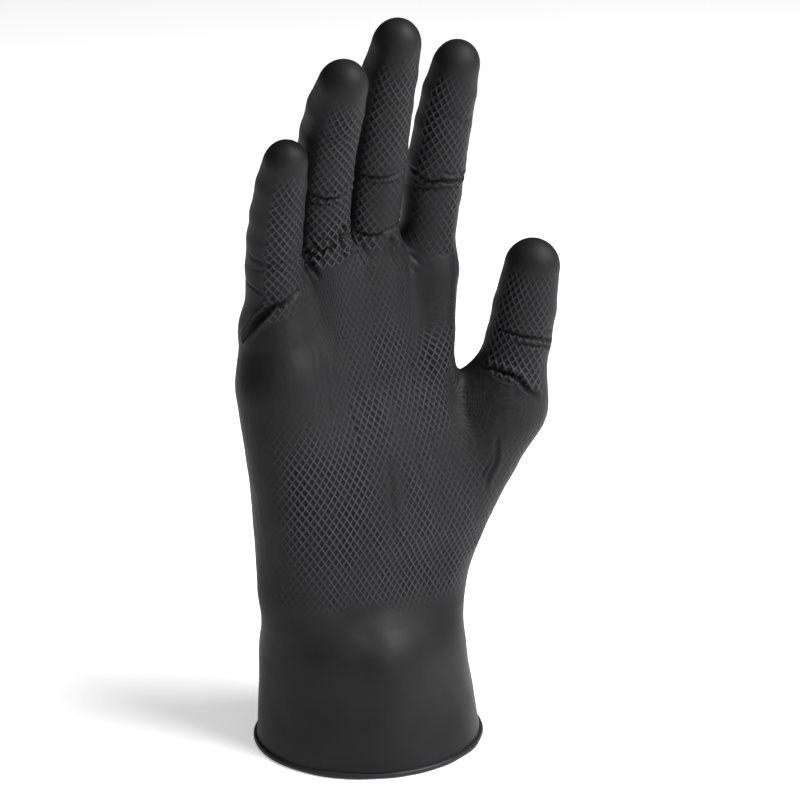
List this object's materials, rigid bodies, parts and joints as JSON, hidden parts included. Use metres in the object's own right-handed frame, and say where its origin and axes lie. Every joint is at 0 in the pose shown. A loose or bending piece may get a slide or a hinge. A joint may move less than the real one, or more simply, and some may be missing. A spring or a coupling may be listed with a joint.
{
  "type": "disposable nitrile glove",
  "caption": "Disposable black nitrile work glove in worn shape, raised-diamond grip, open cuff with rolled bead; fingers, thumb and wrist bend.",
  "frame": {"origin": "in the mouth of the cuff, on the plane that the rolled bead rests on, under the middle of the palm", "axes": "+Z along the hand towards the fingertips, +X towards the thumb, -Y out of the palm"},
  "size_m": [0.1102, 0.0748, 0.2415],
  "materials": {
    "grip_film": "matte black nitrile with a raised diamond grip",
    "smooth_film": "smooth matte black nitrile",
    "bead": "rolled black nitrile, satin"
  },
  "bodies": {
    "cuff": {"cuff_sleeve": "smooth_film", "cuff_bead": "bead"},
    "hand": {"palm_film": "grip_film", "back_film": "grip_film"},
    "index_base": {"index_base": "grip_film"},
    "index_middle": {"index_middle": "grip_film"},
    "index_tip": {"index_tip": "grip_film"},
    "middle_base": {"middle_base": "grip_film"},
    "middle_middle": {"middle_middle": "grip_film"},
    "middle_tip": {"middle_tip": "grip_film"},
    "ring_base": {"ring_base": "grip_film"},
    "ring_middle": {"ring_middle": "grip_film"},
    "ring_tip": {"ring_tip": "grip_film"},
    "little_base": {"little_base": "grip_film"},
    "little_middle": {"little_middle": "grip_film"},
    "little_tip": {"little_tip": "grip_film"},
    "thumb_base": {"thumb_base": "grip_film"},
    "thumb_tip": {"thumb_tip": "grip_film"}
  },
  "joints": [
    {"name": "wrist_bend", "type": "hinge", "parent": "cuff", "child": "hand", "pos_m": [0, 0.0005, 0.058], "axis": [1, 0, 0], "range_deg": [-30, 40], "stiffness_Nm_per_rad": 0.2},
    {"name": "index_base_bend", "type": "hinge", "parent": "hand", "child": "index_base", "pos_m": [0.02167, -0.00059, 0.17173], "axis": [0.9997, 0, 0.0262], "range_deg": [-10, 45], "stiffness_Nm_per_rad": 0.03},
    {"name": "index_middle_bend", "type": "hinge", "parent": "index_base", "child": "index_middle", "pos_m": [0.02128, -0.00358, 0.18643], "axis": [0.9997, 0, 0.0262], "range_deg": [-9, 60], "stiffness_Nm_per_rad": 0.02},
    {"name": "index_tip_bend", "type": "hinge", "parent": "index_middle", "child": "index_tip", "pos_m": [0.02068, -0.0108, 0.20931], "axis": [0.9997, 0, 0.0262], "range_deg": [-7, 35], "stiffness_Nm_per_rad": 0.01},
    {"name": "middle_base_bend", "type": "hinge", "parent": "hand", "child": "middle_base", "pos_m": [-0.0019, -0.00102, 0.17628], "axis": [0.9936, 0, 0.1132], "range_deg": [-10, 45], "stiffness_Nm_per_rad": 0.03},
    {"name": "middle_middle_bend", "type": "hinge", "parent": "middle_base", "child": "middle_middle", "pos_m": [-0.00389, -0.00673, 0.19377], "axis": [0.9936, 0, 0.1132], "range_deg": [-6, 60], "stiffness_Nm_per_rad": 0.02},
    {"name": "middle_tip_bend", "type": "hinge", "parent": "middle_middle", "child": "middle_tip", "pos_m": [-0.00679, -0.01681, 0.21919], "axis": [0.9936, 0, 0.1132], "range_deg": [-9, 35], "stiffness_Nm_per_rad": 0.01},
    {"name": "ring_base_bend", "type": "hinge", "parent": "hand", "child": "ring_base", "pos_m": [-0.02117, -0.00081, 0.17417], "axis": [0.9816, 0, 0.1908], "range_deg": [-10, 45], "stiffness_Nm_per_rad": 0.03},
    {"name": "ring_middle_bend", "type": "hinge", "parent": "ring_base", "child": "ring_middle", "pos_m": [-0.02416, -0.00604, 0.18953], "axis": [0.9816, 0, 0.1908], "range_deg": [-13, 55], "stiffness_Nm_per_rad": 0.02},
    {"name": "ring_tip_bend", "type": "hinge", "parent": "ring_middle", "child": "ring_tip", "pos_m": [-0.02858, -0.01889, 0.21228], "axis": [0.9816, 0, 0.1908], "range_deg": [-12, 30], "stiffness_Nm_per_rad": 0.01},
    {"name": "little_base_bend", "type": "hinge", "parent": "hand", "child": "little_base", "pos_m": [-0.03787, -0.00014, 0.15715], "axis": [0.989, 0, 0.1478], "range_deg": [-10, 45], "stiffness_Nm_per_rad": 0.03},
    {"name": "little_middle_bend", "type": "hinge", "parent": "little_base", "child": "little_middle", "pos_m": [-0.03988, -0.00329, 0.17065], "axis": [0.989, 0, 0.1478], "range_deg": [-13, 55], "stiffness_Nm_per_rad": 0.02},
    {"name": "little_tip_bend", "type": "hinge", "parent": "little_middle", "child": "little_tip", "pos_m": [-0.04254, -0.01091, 0.1884], "axis": [0.989, 0, 0.1478], "range_deg": [-9, 35], "stiffness_Nm_per_rad": 0.01},
    {"name": "thumb_base_bend", "type": "hinge", "parent": "hand", "child": "thumb_base", "pos_m": [0.04673, -0.01338, 0.12135], "axis": [0.7493, -0.6428, -0.1593], "range_deg": [-10, 25], "stiffness_Nm_per_rad": 0.03},
    {"name": "thumb_tip_bend", "type": "hinge", "parent": "thumb_base", "child": "thumb_tip", "pos_m": [0.04834, -0.01518, 0.13616], "axis": [0.7493, -0.6428, -0.1593], "range_deg": [-10, 50], "stiffness_Nm_per_rad": 0.01}
  ]
}
